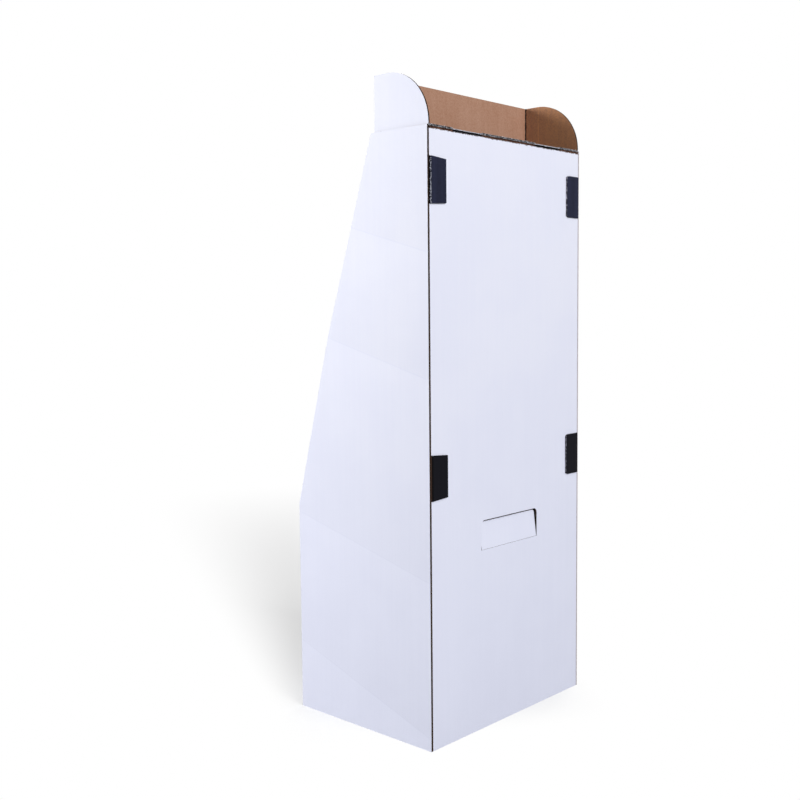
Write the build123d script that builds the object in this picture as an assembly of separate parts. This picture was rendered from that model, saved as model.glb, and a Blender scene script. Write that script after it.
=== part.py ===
from build123d import *
import os
from dataclasses import dataclass
from math import cos, radians, sin, tan

# A corrugated-board display stand, in millimetres: x across, y from front to back, z up.
# A "reach" is a distance forward from the rear plane, which is the back panel's outer face.

# Board and fits
board = 3.0
fold_radius = 0.5
fit = 0.25
header_fit = 0.5

# Outline of the side walls
width = 430.0
depth = 320.0
side_height = 1028.0
base_height = 382.0
middle_height = 685.5
middle_reach = 238.0
top_reach = 125.0

# Back panel: top crease with two slots, and a hand hole closed by its own flap
back_flap_reach = 60.0
back_corner_radius = 3.0
slot_width = 75.0
slot_offset = 113.5
hand_hole_width = 162.0
hand_hole_height = 52.0
hand_hole_bottom = 318.0
hand_hole_radius = 9.0
hand_hole_push = 7.0
hand_hole_side_kerf = 1.3
hand_hole_top_kerf = 3.0
hand_hole_flap_radius = 4.5
hand_hole_margin = 4.0

# Black tabs of the inner wrap, folded over the back panel
tab_length = 40.0
tab_root_height = 75.5
tab_taper = 2.6
upper_tab_drop = 49.0
lower_tab_bottom = 421.5

# Top board
top_board_rise = 1.5
top_flange_height = 40.0
top_board_front_gap = 0.5
top_tab_length = 30.0
top_tab_relief = 1.0
top_tab_neck = 5.0

# Header
header_height = 91.5
header_setback = 3.0
wing_radius = 90.5
wing_edge_land = 1.0
header_tongue_length = 40.0
header_tongue_width = 60.0
header_tongue_reach = 45.0
header_tongue_radius = 6.0

# Shelves: where each underside meets the front edge, and how far it tilts down to the back, in degrees
shelf_top_height = 875.0
shelf_lower_drop = 14.0
shelf_bottom_height = 127.5
upper_tilt = 15.6
lower_tilt = 14.6
bottom_tilt = 18.5
lip_height = 45.0
lip_inset = 3.0
shelf_flange_height = 15.0
shelf_tongue_length = 44.0
shelf_tongue_margin = 22.0
shelf_tongue_end_gap = 0.1

# Kick panel under the bottom shelf
kick_setback = 12.0
kick_flange_length = 40.0

# Places worked out from the sizes above
rear_y = (depth - board) / 2
front_y = rear_y - depth
side_face_x = width / 2
wrap_face_x = side_face_x - board
inner_face_x = wrap_face_x - board
inner_back_reach = 2 * board
top_board_top = side_height + top_board_rise
wrap_top = top_board_top - board
fold_outer_radius = fold_radius + board
loose_inner_x = inner_face_x - fit
header_face_x = wrap_face_x - header_fit
header_inner_x = header_face_x - board
header_front_reach = top_reach - header_setback
crease_height = wrap_top - fold_outer_radius
tab_bottoms = (side_height - upper_tab_drop - tab_root_height, lower_tab_bottom)
slot_x = (slot_offset - slot_width / 2, slot_offset + slot_width / 2)
top_tab_reach = board + fit
rear_face = Plane(origin=(0, rear_y, 0), x_dir=(1, 0, 0), z_dir=(0, -1, 0))


@dataclass
class Shelf:
    """A tray whose underside meets the side's front edge at front_height and falls by tilt to the back."""

    name: str
    front_height: float
    tilt: float

    @property
    def edge_reach(self):
        return front_edge_reach(self.front_height)

    def underside(self, reach):
        return self.front_height - (self.edge_reach - reach) * tan(radians(self.tilt))

    def point(self, reach):
        return (y_at(reach), self.underside(reach))

    @property
    def front_reach(self):
        return self.edge_reach - lip_inset

    @property
    def rear_reach(self):
        return inner_back_reach + fit + board


shelves = [
    Shelf("shelf_top", shelf_top_height, upper_tilt),
    Shelf("shelf_upper", middle_height, upper_tilt),
    Shelf("shelf_lower", base_height - shelf_lower_drop, lower_tilt),
    Shelf("shelf_bottom", shelf_bottom_height, bottom_tilt),
]


def y_at(reach):
    """y of a point at a reach from the rear plane."""
    return rear_y - reach


def front_edge_reach(height):
    """Reach of the side walls' front edge at a height."""
    corners = [(base_height, depth), (middle_height, middle_reach), (side_height, top_reach)]
    for (low, low_reach), (high, high_reach) in zip(corners, corners[1:]):
        if low < height <= high:
            return low_reach + (high_reach - low_reach) * (height - low) / (high - low)
    return depth if height <= base_height else top_reach


def folded_face(*points):
    """Section of a board folded along a path of its face, with the thickness to the left of the path."""
    radii = []
    for before, corner, after in zip(points, points[1:], points[2:]):
        towards = (corner[0] - before[0], corner[1] - before[1])
        away = (after[0] - corner[0], after[1] - corner[1])
        turn = towards[0] * away[1] - towards[1] * away[0]
        radii.append(fold_radius if turn < 0 else fold_outer_radius)
    path = FilletPolyline(*points, radius=radii)
    return make_face(path.wire().offset_2d(board, side=Side.LEFT))


def outline(*points):
    """Flat face with straight edges through the points."""
    return make_face(Polyline(*points, close=True))


def across(face, length):
    """Solid made from a side-view face of y and z, centred on the stand's middle plane."""
    return extrude(Plane.YZ * face, amount=length / 2, both=True)


def block(x_range, reach_range, z_range):
    """Box between two x, two reaches and two heights."""
    size = (x_range[1] - x_range[0], reach_range[1] - reach_range[0], z_range[1] - z_range[0])
    centre = (sum(x_range) / 2, y_at(sum(reach_range) / 2), sum(z_range) / 2)
    return Pos(*centre) * Box(*size)


def on_both_sides(solid):
    """A right-hand solid together with its mirror image."""
    return [solid, mirror(solid, Plane.YZ)]


def side_outline():
    """Side view of a side wall, with the front edge in three runs."""
    return outline(
        (rear_y, 0),
        (front_y, 0),
        (front_y, base_height),
        (y_at(middle_reach), middle_height),
        (y_at(top_reach), side_height),
        (rear_y, side_height),
    )


def side_panel():
    """Right outer side panel, flat."""
    return Pos(wrap_face_x, 0, 0) * extrude(Plane.YZ * side_outline(), amount=board)


def hand_hole_face(side_gap, top_gap, radius):
    """Hand-hole outline in x and z, smaller by a gap at each side and the top, with round top corners."""
    face_width = hand_hole_width - 2 * side_gap
    face_height = hand_hole_height - top_gap
    face = Pos(0, hand_hole_bottom + face_height / 2) * Rectangle(face_width, face_height)
    return fillet(face.vertices().group_by(Axis.Y)[-1], radius)


def hand_hole_flap():
    """Flap of the hand hole, pushed in about the crease along its bottom edge."""
    face = hand_hole_face(hand_hole_side_kerf, hand_hole_top_kerf, hand_hole_flap_radius)
    flap = extrude(rear_face * face, amount=board)
    crease = Axis((0, rear_y, hand_hole_bottom), (1, 0, 0))
    return flap.rotate(crease, hand_hole_push)


def back_panel():
    """Back panel with its creased top flap, slots, tab notches and hand hole."""
    profile = folded_face((rear_y, 0), (rear_y, wrap_top), (y_at(back_flap_reach), wrap_top))
    panel = across(profile, 2 * (wrap_face_x - fit))
    flap_end_x = (header_inner_x - fit, side_face_x)
    panel -= on_both_sides(block(flap_end_x, (-board, back_flap_reach + board), (crease_height, wrap_top)))
    outer_edges = panel.edges().filter_by(Axis.Y).group_by(lambda edge: abs(edge.center().X))[-1]
    panel = fillet(outer_edges.group_by(Axis.Z)[-1], back_corner_radius)
    slot_reach = (-board, top_tab_reach + fold_outer_radius + fit)
    panel -= on_both_sides(block(slot_x, slot_reach, (crease_height, top_board_top)))
    notch_x = (inner_face_x - fold_radius, side_face_x)
    for bottom in tab_bottoms:
        notch_z = (bottom - fit, bottom + tab_root_height + fit)
        panel -= on_both_sides(block(notch_x, (-board, 2 * board), notch_z))
    panel -= extrude(rear_face * hand_hole_face(0, 0, hand_hole_radius), amount=board)
    return panel + hand_hole_flap()


def wrap_tab(bottom):
    """Right tab of the wrap: straight past the back panel, then folded flat over its face and tapered."""
    free_x = wrap_face_x - tab_length
    top = bottom + tab_root_height
    profile = folded_face(
        (wrap_face_x, y_at(inner_back_reach + board)),
        (wrap_face_x, rear_y + board),
        (free_x, rear_y + board),
    )
    strip = Pos(0, 0, bottom) * extrude(profile, amount=tab_root_height)
    taper = outline(
        (side_face_x, bottom),
        (inner_face_x, bottom),
        (free_x, bottom + tab_taper),
        (free_x, top - tab_taper),
        (inner_face_x, top),
        (side_face_x, top),
    )
    return strip & extrude(Plane.XZ * taper, amount=depth, both=True)


def shelf_tongue_faces(shelf, clearance):
    """Side-view outlines of a shelf's two end tongues, grown by a clearance to give the slots."""
    half = shelf_tongue_length / 2
    reaches = (shelf.rear_reach + shelf_tongue_margin + half, shelf.front_reach - shelf_tongue_margin - half)
    lift = (sin(radians(shelf.tilt)) * board / 2, cos(radians(shelf.tilt)) * board / 2)
    face = Rectangle(shelf_tongue_length + 2 * clearance, board + 2 * clearance)
    faces = []
    for reach in reaches:
        y, z = shelf.point(reach)
        faces.append(Pos(y + lift[0], z + lift[1]) * Rot(0, 0, -shelf.tilt) * face)
    return faces


def inner_wrap():
    """U-shaped lining with shelf slots, header notches and four rear tabs."""
    plan = folded_face(
        (wrap_face_x, front_y),
        (wrap_face_x, y_at(board)),
        (-wrap_face_x, y_at(board)),
        (-wrap_face_x, front_y),
    )
    wrap = extrude(plan, amount=wrap_top) & across(side_outline(), width)
    wrap -= block((-inner_face_x, inner_face_x), (0, inner_back_reach), (crease_height, side_height))
    top_tab_z = (top_board_top - top_tab_length - fit, side_height)
    wrap -= on_both_sides(block(slot_x, (0, inner_back_reach), top_tab_z))
    wrap -= block(
        (-hand_hole_width / 2 - hand_hole_margin, hand_hole_width / 2 + hand_hole_margin),
        (0, inner_back_reach),
        (hand_hole_bottom - hand_hole_margin, hand_hole_bottom + hand_hole_height + hand_hole_margin),
    )
    for bottom in tab_bottoms:
        cut_x = (inner_face_x - tab_length - board, inner_face_x)
        wrap -= on_both_sides(block(cut_x, (0, inner_back_reach), (bottom, bottom + tab_root_height)))
        wrap += on_both_sides(wrap_tab(bottom))
    notch_reach = (header_tongue_reach - fit, header_tongue_reach + header_tongue_width + fit)
    notch_z = (top_board_top - header_tongue_length, side_height)
    wrap -= on_both_sides(block((inner_face_x, wrap_face_x), notch_reach, notch_z))
    for shelf in shelves:
        for face in shelf_tongue_faces(shelf, fit):
            wrap -= across(face, width)
    return wrap


def top_board():
    """Board on the wrap's top, with a front flange, end notches and two rear tabs tucked down."""
    front = y_at(top_reach - top_board_front_gap)
    profile = folded_face(
        (rear_y, top_board_top),
        (front, top_board_top),
        (front, top_board_top - board - top_flange_height),
    )
    lid = across(profile, 2 * (wrap_face_x - fit))
    flange_z = (wrap_top - top_flange_height, wrap_top)
    lid -= on_both_sides(block((loose_inner_x, side_face_x), (0, top_reach), flange_z))
    notch_x = (header_inner_x - fit, side_face_x)
    notch_reach = (header_tongue_reach - fit, header_tongue_reach + header_tongue_width + fit)
    lid -= on_both_sides(block(notch_x, notch_reach, (wrap_top, top_board_top)))
    tab_width = slot_width - 2 * fit
    neck_reach = top_tab_reach + fold_outer_radius + top_tab_neck
    relief_x = (slot_x[0] - top_tab_relief, slot_x[1] + top_tab_relief)
    lid -= on_both_sides(block(relief_x, (-board, neck_reach), (wrap_top, top_board_top)))
    tab_profile = folded_face(
        (y_at(top_tab_reach), top_board_top - top_tab_length),
        (y_at(top_tab_reach), top_board_top),
        (y_at(neck_reach + board), top_board_top),
    )
    lid += on_both_sides(Pos(slot_offset, 0, 0) * across(tab_profile, tab_width))
    return lid


def header():
    """Header folded to a U, with a quarter-round corner and a tongue on each wing."""
    plan = folded_face(
        (-header_face_x, rear_y),
        (-header_face_x, y_at(header_front_reach)),
        (header_face_x, y_at(header_front_reach)),
        (header_face_x, rear_y),
    )
    wing = Rectangle(header_front_reach, header_height)
    wing = Pos(y_at(header_front_reach / 2), top_board_top + header_height / 2) * wing
    round_corner = min(wing_radius, header_height - wing_edge_land, header_front_reach - wing_edge_land)
    wing = fillet(wing.vertices().sort_by(lambda corner: corner.X + corner.Y)[-1], round_corner)
    card = Pos(0, 0, top_board_top) * extrude(plan, amount=header_height) & across(wing, width)
    tongue = Pos(
        y_at(header_tongue_reach + header_tongue_width / 2), top_board_top - header_tongue_length / 2
    ) * Rectangle(header_tongue_width, header_tongue_length)
    tongue = fillet(tongue.vertices().group_by(Axis.Y)[0], header_tongue_radius)
    card += on_both_sides(Pos(header_inner_x, 0, 0) * extrude(Plane.YZ * tongue, amount=board))
    return card


def shelf_tray(shelf):
    """Shelf with a front lip square to its floor, a rear flange turned down and two tongues at each end."""
    corner_y, corner_z = shelf.point(shelf.front_reach)
    slope = radians(shelf.tilt)
    lip_length = lip_height + board
    flange_y, flange_z = shelf.point(shelf.rear_reach)
    profile = folded_face(
        (corner_y + lip_length * sin(slope), corner_z + lip_length * cos(slope)),
        (corner_y, corner_z),
        (flange_y, flange_z),
        (flange_y, flange_z - shelf_flange_height),
    )
    tray = across(profile, 2 * loose_inner_x)
    for face in shelf_tongue_faces(shelf, 0):
        tray += across(face, 2 * (wrap_face_x - shelf_tongue_end_gap))
    return tray


def kick_panel(shelf):
    """Front panel of the base with two side flanges, its top cut to the slope of the shelf on it."""
    front_reach = depth - kick_setback
    rear_reach = front_reach - kick_flange_length
    plan = folded_face(
        (-loose_inner_x, y_at(rear_reach)),
        (-loose_inner_x, y_at(front_reach)),
        (loose_inner_x, y_at(front_reach)),
        (loose_inner_x, y_at(rear_reach)),
    )
    slope = outline(
        (y_at(front_reach), 0),
        shelf.point(front_reach),
        shelf.point(rear_reach),
        (y_at(rear_reach), 0),
    )
    return extrude(plan, amount=shelf.front_height) & across(slope, width)


def write(solid, name):
    """Save one piece under its name."""
    solid.label = name
    export_step(solid, f"parts/{name}.step")


os.makedirs("parts", exist_ok=True)
write(side_panel(), "side_panel_right")
write(mirror(side_panel(), Plane.YZ), "side_panel_left")
write(back_panel(), "back_panel")
write(inner_wrap(), "inner_wrap")
write(top_board(), "top_board")
write(header(), "header")
for shelf in shelves:
    write(shelf_tray(shelf), shelf.name)
write(kick_panel(shelves[-1]), "kick_panel")
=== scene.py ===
import logging
import math
from dataclasses import dataclass, field, replace
from enum import Enum

import bmesh
import bpy
from mathutils import Matrix, Vector


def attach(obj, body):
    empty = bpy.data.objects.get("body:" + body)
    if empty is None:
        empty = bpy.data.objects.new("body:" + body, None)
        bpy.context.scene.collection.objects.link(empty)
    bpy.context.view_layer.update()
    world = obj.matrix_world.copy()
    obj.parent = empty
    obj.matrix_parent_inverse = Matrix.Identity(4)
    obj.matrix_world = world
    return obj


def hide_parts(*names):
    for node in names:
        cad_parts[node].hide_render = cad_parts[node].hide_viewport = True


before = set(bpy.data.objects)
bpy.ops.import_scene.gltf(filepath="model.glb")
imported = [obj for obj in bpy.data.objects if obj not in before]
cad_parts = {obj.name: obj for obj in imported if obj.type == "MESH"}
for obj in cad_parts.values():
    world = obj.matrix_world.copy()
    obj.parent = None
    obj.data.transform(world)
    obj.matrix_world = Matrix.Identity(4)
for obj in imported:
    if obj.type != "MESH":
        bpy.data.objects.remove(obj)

# A corrugated-board display stand, made the way its maker makes it: every piece is a die-cut blank of two
# liners and a fluted medium, folded along its creases. Lengths are in millimetres until a mesh is placed.
# A reach is a distance forward from the rear plane, which is the back panel's outer face.

LOG = logging.getLogger("display_stand")
METRES = 0.001
CLOSE = 1e-6
SNAP = 0.002
CELL_TOUCH = 1e-4
WAVE_ROOM = 0.3
PLACE_DIGITS = 5
CREASE = "crease"
PRESSED = "pressed line"
Point = tuple[float, float]
Cell = list[Point]


class Plane(Enum):
    """How a fold path lies in the stand."""

    PLAN = "path in x and y, the blank's other side runs up z"
    SECTION = "path in y and z, the blank's other side runs along x"


class Side(Enum):
    """Side of the stand, by its sign along x."""

    RIGHT = 1.0
    LEFT = -1.0


class Flutes(Enum):
    """Which way the flutes of a blank run."""

    ACROSS_PATH = "flutes stand square to the path, so the wave runs along it"
    ALONG_PATH = "flutes run along the path, so the wave runs across it"


class Face(Enum):
    """Material slots of a board, by their index on the mesh."""

    OUTSIDE = 0
    INSIDE = 1
    CORE = 2
    CUT = 3
    FOLD = 4


Layer = tuple[list[float], list[float], Face, Face]
Colour = tuple[float, float, float, float]
Socket = bpy.types.NodeSocket


@dataclass(frozen=True)
class Board:
    """Make-up of a corrugated board."""

    thickness: float = 3.0
    liner: float = 0.3
    medium: float = 0.22
    pitch: float = 6.35
    steps: int = 12
    washboard: float = 0.02
    fold_radius: float = 0.5

    @property
    def fold_outer_radius(self) -> float:
        """Radius of a fold's outer face."""
        return self.fold_radius + self.thickness

    def outer_sag(self, along: float) -> float:
        """How far the outer liner sinks between two flute tips at a distance across the flutes."""
        return self.washboard * (1 - math.cos(math.tau * along / self.pitch)) / 2

    def inner_sag(self, along: float) -> float:
        """How far the inner liner sinks between two flute tips at a distance across the flutes."""
        return self.washboard * (1 + math.cos(math.tau * along / self.pitch)) / 2

    def wave(self, along: float) -> tuple[float, float]:
        """The medium's two faces at a distance across the flutes.

        Args:
            along: distance across the flutes.

        Returns:
            Depths of its outer and inner face below the board's outer face.
        """
        swing = (self.thickness - self.medium) / 2 - self.liner
        angle = math.tau * along / self.pitch
        middle = self.thickness / 2 - swing * math.cos(angle)
        slope = swing * math.tau / self.pitch * math.sin(angle)
        half = self.medium / 2 * math.hypot(1, slope)
        return max(middle - half, self.liner), min(middle + half, self.thickness - self.liner)


@dataclass(frozen=True)
class Bend:
    """One rounded fold of a path: where it starts along the blank, its centre and its turn."""

    start: float
    length: float
    centre: Point
    radius: float
    first_angle: float
    turn: float


class FoldPath:
    """Line of a board's outer face, with a rounded fold at each inner corner and the board on its left."""

    def __init__(self, corners: list[Point], board: Board, plane: Plane) -> None:
        """Lay the blank's length out along the path.

        Args:
            corners: sharp corners of the path.
            board: the board that is folded.
            plane: how the path lies in the stand.
        """
        self.corners = corners
        self.board = board
        self.plane = plane
        self.runs: list[tuple[float, float, float]] = []
        self.bends: list[Bend] = []
        self._lay_out()

    def _lay_out(self) -> None:
        """Work out where each straight run and each bend starts along the blank."""
        place, trimmed = 0.0, 0.0
        for index, (here, there) in enumerate(zip(self.corners, self.corners[1:])):
            heading = math.atan2(there[1] - here[1], there[0] - here[0])
            length = math.dist(here, there)
            if index + 2 == len(self.corners):
                self.runs.append((place, place + length - trimmed, trimmed))
                return
            after = self.corners[index + 2]
            turn = math.remainder(math.atan2(after[1] - there[1], after[0] - there[0]) - heading, math.tau)
            radius = self.board.fold_outer_radius if turn > 0 else self.board.fold_radius
            tangent = radius * math.tan(abs(turn) / 2)
            end = place + length - trimmed - tangent
            self.runs.append((place, end, trimmed))
            side = math.copysign(1.0, turn)
            touch = (there[0] - tangent * math.cos(heading), there[1] - tangent * math.sin(heading))
            lift = side * radius
            centre = (touch[0] - lift * math.sin(heading), touch[1] + lift * math.cos(heading))
            arc = (self.board.fold_radius + self.board.thickness / 2) * abs(turn)
            self.bends.append(Bend(end, arc, centre, radius, heading - side * math.pi / 2, turn))
            place, trimmed = end + arc, tangent

    @property
    def length(self) -> float:
        """Length of the blank along the path."""
        return self.runs[-1][1]

    def at(self, run: int, distance: float) -> float:
        """Place along the blank of a point on a straight run, by its distance from the run's sharp corner."""
        start, _, trimmed = self.runs[run]
        return start + distance - trimmed

    def lines(self, steps: int = 4, fade: float = 2.5) -> list[float]:
        """Find where the bends need cross lines.

        Args:
            steps: parts that each bend is cut into.
            fade: how far outside a bend one more line lies on each side.

        Returns:
            The lines' distances along the blank.
        """
        found: list[float] = []
        for bend in self.bends:
            found += [bend.start + bend.length * step / steps for step in range(steps + 1)]
            found += [bend.start - fade, bend.start + bend.length + fade]
        return found

    def crease(self, place: float, share: float, reach: float) -> float:
        """How close a place along the blank is to the worn line of a fold.

        Args:
            place: distance along the blank.
            share: where the worn line lies in the fold, from 0 at its start to 1 at its end.
            reach: distance from the worn line at which the wear ends.

        Returns:
            Closeness from 0 to 1.
        """
        gaps = [abs(place - bend.start - bend.length * share) for bend in self.bends]
        return max((1 - gap / reach for gap in gaps if gap < reach), default=0.0)

    def in_bend(self, place: float, margin: float) -> bool:
        """Whether a place along the blank lies in a fold or within a margin of it."""
        return any(bend.start - margin < place < bend.start + bend.length + margin for bend in self.bends)

    def point(self, place: float, depth: float) -> Point:
        """Point of the folded board.

        Args:
            place: distance along the blank.
            depth: distance below the outer face.

        Returns:
            The point's two coordinates in the path's plane.
        """
        for bend in self.bends:
            if bend.start <= place <= bend.start + bend.length:
                angle = bend.first_angle + bend.turn * (place - bend.start) / bend.length
                radius = bend.radius - math.copysign(depth, bend.turn)
                return bend.centre[0] + radius * math.cos(angle), bend.centre[1] + radius * math.sin(angle)
        begun = (index for index, (start, _, _) in enumerate(self.runs) if start <= place + CLOSE)
        run = max(begun, default=0)
        start, _, trimmed = self.runs[run]
        here, there = self.corners[run], self.corners[run + 1]
        heading = math.atan2(there[1] - here[1], there[0] - here[0])
        ahead = place - start + trimmed
        return (
            here[0] + ahead * math.cos(heading) - depth * math.sin(heading),
            here[1] + ahead * math.sin(heading) + depth * math.cos(heading),
        )

    def world(self, place: float, across: float, depth: float) -> Vector:
        """Point of the folded board in the stand.

        Args:
            place: distance along the blank.
            across: place on the blank's other side.
            depth: distance below the outer face.

        Returns:
            The point, in metres.
        """
        first, second = self.point(place, depth)
        spot = (first, second, across) if self.plane is Plane.PLAN else (across, first, second)
        return Vector(spot) * METRES


@dataclass(frozen=True)
class Press:
    """A shallow pressed line on one face of a blank, through two points."""

    start: Point
    end: Point
    half_width: float
    depth: float
    inside: bool = False

    @property
    def normal(self) -> Point:
        """Unit normal of the line."""
        length = math.dist(self.start, self.end)
        return (self.start[1] - self.end[1]) / length, (self.end[0] - self.start[0]) / length

    def gap(self, spot: Point) -> float:
        """Signed distance of a spot from the line."""
        return (spot[0] - self.start[0]) * self.normal[0] + (spot[1] - self.start[1]) * self.normal[1]

    def mark(self, spot: Point) -> float:
        """How strongly the line shows at a spot, from 0 to 1."""
        return max(0.0, 1 - abs(self.gap(spot)) / self.half_width)

    def sink(self, spot: Point) -> float:
        """How far the press pushes the face in at a spot."""
        return self.depth * self.mark(spot)


def split(cell: Cell, normal: Point, offset: float) -> list[Cell]:
    """Cut a convex cell along a line.

    Args:
        cell: corners of the cell in order.
        normal: unit normal of the line.
        offset: the line's distance from the origin along its normal.

    Returns:
        The cell's parts on each side of the line.
    """
    low: Cell = []
    high: Cell = []
    for here, there in zip(cell, cell[1:] + cell[:1]):
        first = normal[0] * here[0] + normal[1] * here[1] - offset
        second = normal[0] * there[0] + normal[1] * there[1] - offset
        if first <= CLOSE:
            low.append(here)
        if first >= -CLOSE:
            high.append(here)
        if min(first, second) < -CLOSE and max(first, second) > CLOSE:
            share = first / (first - second)
            cut = (here[0] + (there[0] - here[0]) * share, here[1] + (there[1] - here[1]) * share)
            low.append(cut)
            high.append(cut)
    inside_low = any(normal[0] * a + normal[1] * b - offset < -CLOSE for a, b in low)
    inside_high = any(normal[0] * a + normal[1] * b - offset > CLOSE for a, b in high)
    return [part for part, real in ((low, inside_low), (high, inside_high)) if real and len(part) > 2]


def snapped(values: set[float]) -> dict[float, float]:
    """Take values together that are closer than a hair's width.

    Args:
        values: places of corners along one side of a blank.

    Returns:
        The value that stands for each given one.
    """
    table: dict[float, float] = {}
    anchor = -math.inf
    for value in sorted(values):
        anchor = value if value - anchor > SNAP else anchor
        table[value] = anchor
    return table


def spaced(fixed: list[float], loose: list[float], room: float) -> list[float]:
    """Sorted cut lines, without the loose ones that come too close to a fixed one."""
    kept = sorted({round(value, PLACE_DIGITS) for value in fixed})
    return sorted(kept + [value for value in loose if all(abs(value - other) > room for other in kept)])


def twin(loop: Cell, whole: float) -> Cell:
    """The same loop at the other end of a blank of a given whole length."""
    return [(whole - place, height) for place, height in loop]


def end_to_end(near: Cell, whole: float) -> Cell:
    """Outline of a blank whose two ends are alike, from the near half."""
    return near + twin(near[::-1], whole)


def side_to_side(right: Cell) -> Cell:
    """Outline of a blank whose two sides are alike, from the right half."""
    return right + [(place, -across) for place, across in reversed(right)]


@dataclass
class Blank:
    """A die-cut blank: its outline and holes along a fold path, ready to become liners and a medium."""

    path: FoldPath
    outline: Cell
    holes: list[Cell] = field(default_factory=list)
    flutes: Flutes = Flutes.ACROSS_PATH
    presses: list[Press] = field(default_factory=list)
    fold_slot: bool = False
    fold_margin: float = 0.0
    worn_line: Point = (0.5, 1.6)

    @property
    def board(self) -> Board:
        """The board that the blank is cut from."""
        return self.path.board

    def _wave_place(self, spot: Point) -> float:
        """Distance across the flutes of a spot on the blank."""
        return spot[0] if self.flutes is Flutes.ACROSS_PATH else spot[1]

    def _strips(self) -> list[Cell]:
        """Cut the blank into cells one flute step wide.

        Returns:
            Convex cells, each a list of spots on the blank.
        """
        turned = self.flutes is Flutes.ALONG_PATH
        loops = [[(b, a) if turned else (a, b) for a, b in loop] for loop in [self.outline, *self.holes]]
        corners = [a for loop in loops for a, _ in loop]
        low, high = min(corners), max(corners)
        bends = [value for value in self.path.lines() if low < value < high] if not turned else []
        step = self.board.pitch / self.board.steps
        waves = [step * index for index in range(math.ceil(low / step), math.floor(high / step) + 1)]
        places = spaced(corners + bends, waves, step * WAVE_ROOM)
        edges = [(here, there) for loop in loops for here, there in zip(loop, loop[1:] + loop[:1])]
        edges = [(min(edge), max(edge)) for edge in edges if abs(edge[0][0] - edge[1][0]) > CLOSE]
        cells: list[Cell] = []
        for first, last in zip(places, places[1:]):
            crossing = []
            for (a0, b0), (a1, b1) in edges:
                if a0 <= first + CELL_TOUCH and a1 >= last - CELL_TOUCH:
                    slope = (b1 - b0) / (a1 - a0)
                    crossing.append((b0 + slope * (first - a0), b0 + slope * (last - a0)))
            crossing.sort(key=sum)
            for bottom, top in zip(crossing[::2], crossing[1::2]):
                cells.append([(first, bottom[0]), (last, bottom[1]), (last, top[1]), (first, top[0])])
        if turned:
            for place in self.path.lines():
                cells = [part for cell in cells for part in split(cell, (0.0, 1.0), place)]
            cells = [[(a, b) for b, a in cell] for cell in cells]
        for press in self.presses:
            base = press.normal[0] * press.start[0] + press.normal[1] * press.start[1]
            for shift in (-press.half_width, 0.0, press.half_width):
                cells = [part for cell in cells for part in split(cell, press.normal, base + shift)]
        return cells

    def plan(self) -> tuple[list[Point], list[list[int]]]:
        """Mesh of the flat blank with every vertex shared.

        Returns:
            Its spots and its cells as lists of indexes.
        """
        cells = self._strips()
        firsts, seconds = (snapped({spot[axis] for cell in cells for spot in cell}) for axis in (0, 1))
        cells = [[(firsts[a], seconds[b]) for a, b in cell] for cell in cells]
        spots = sorted({spot for cell in cells for spot in cell})
        number = {spot: index for index, spot in enumerate(spots)}
        by_first: dict[float, list[float]] = {}
        by_second: dict[float, list[float]] = {}
        for a, b in spots:
            by_first.setdefault(a, []).append(b)
            by_second.setdefault(b, []).append(a)
        faces: list[list[int]] = []
        for cell in cells:
            ring: list[int] = []
            for here, there in zip(cell, cell[1:] + cell[:1]):
                if here == there:
                    continue
                between: list[Point] = []
                if here[0] == there[0]:
                    low, high = sorted((here[1], there[1]))
                    between = [(here[0], b) for b in by_first[here[0]] if low < b < high]
                elif here[1] == there[1]:
                    low, high = sorted((here[0], there[0]))
                    between = [(a, here[1]) for a in sorted(by_second[here[1]]) if low < a < high]
                if here > there:
                    between.reverse()
                ring += [number[spot] for spot in [here, *between]]
            if len(set(ring)) > 2:
                faces.append(ring)
        return spots, faces

    def _sunk(self, spots: list[Point], inside: bool) -> list[float]:
        """How far the pressed lines push one face in at every spot."""
        lines = [line for line in self.presses if line.inside == inside]
        return [max((line.sink(spot) for line in lines), default=0.0) for spot in spots]

    def layers(self, spots: list[Point], shut: set[int]) -> list[Layer]:
        """Depths of each layer's two faces at every spot, with the slots of those faces.

        Args:
            spots: the flat blank's spots.
            shut: indexes of the spots on cuts along a flute, where the knife crushes the medium.

        Returns:
            Outer liner, medium and inner liner.
        """
        board = self.board
        waves = [self._wave_place(spot) for spot in spots]
        pressed = self._sunk(spots, False)
        raised = self._sunk(spots, True)
        inner = board.thickness - board.liner
        crushed = (board.liner, inner)
        medium = [crushed if index in shut else board.wave(wave) for index, wave in enumerate(waves)]
        return [
            (
                [max(board.outer_sag(w), push) for w, push in zip(waves, pressed)],
                [board.liner] * len(spots),
                Face.OUTSIDE,
                Face.CORE,
            ),
            ([low for low, _ in medium], [high for _, high in medium], Face.CORE, Face.CORE),
            (
                [inner] * len(spots),
                [board.thickness - max(board.inner_sag(w), push) for w, push in zip(waves, raised)],
                Face.CORE,
                Face.INSIDE,
            ),
        ]

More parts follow.
